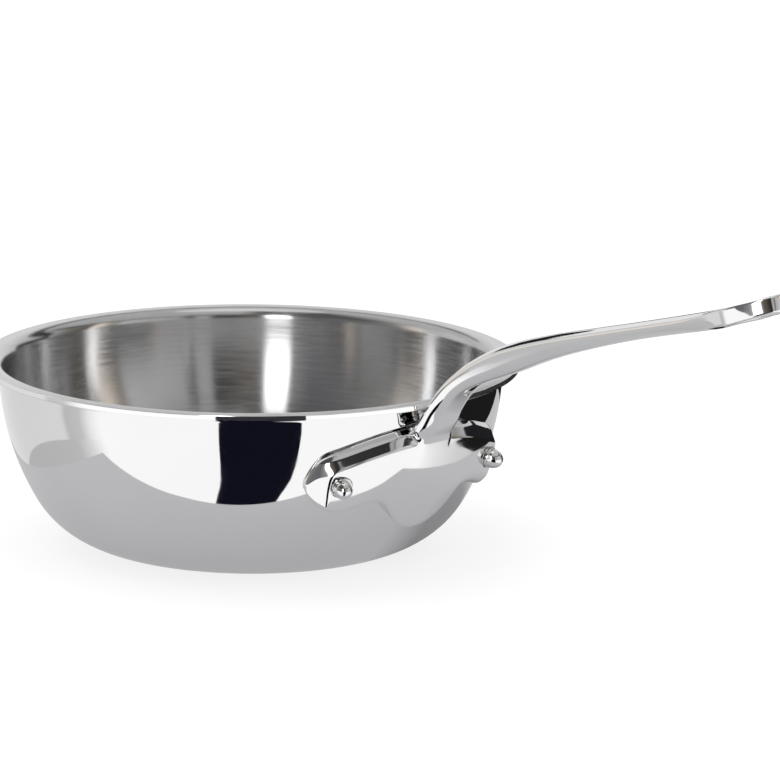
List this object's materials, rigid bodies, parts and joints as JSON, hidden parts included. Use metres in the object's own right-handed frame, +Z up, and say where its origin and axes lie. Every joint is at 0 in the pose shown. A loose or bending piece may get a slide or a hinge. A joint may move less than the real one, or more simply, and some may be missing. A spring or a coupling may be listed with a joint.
{
  "type": "saute pan",
  "caption": "Curved splayed saute pan of polished clad stainless steel with a flared pouring lip and a long riveted cast steel handle that ends in a hanging loop.",
  "frame": {"origin": "centre of the base's underside, on the bowl's axis, where the pan stands on a hob", "axes": "+Z up along the bowl's axis, +X out along the handle, +Y to the left of someone who looks along the handle from the bowl"},
  "size_m": [0.4572, 0.25, 0.1677],
  "materials": {
    "polished_steel": "polished",
    "satin_steel": "satin",
    "cast_steel": "polished",
    "rivet_steel": "polished",
    "core_aluminium": "matte"
  },
  "bodies": {
    "root": {"outer_shell": "polished_steel", "bond_sheet_outer": "core_aluminium", "core_sheet": "core_aluminium", "bond_sheet_inner": "core_aluminium", "inner_liner": "satin_steel", "handle": "cast_steel", "rivet_left": "rivet_steel", "rivet_right": "rivet_steel"}
  },
  "joints": []
}
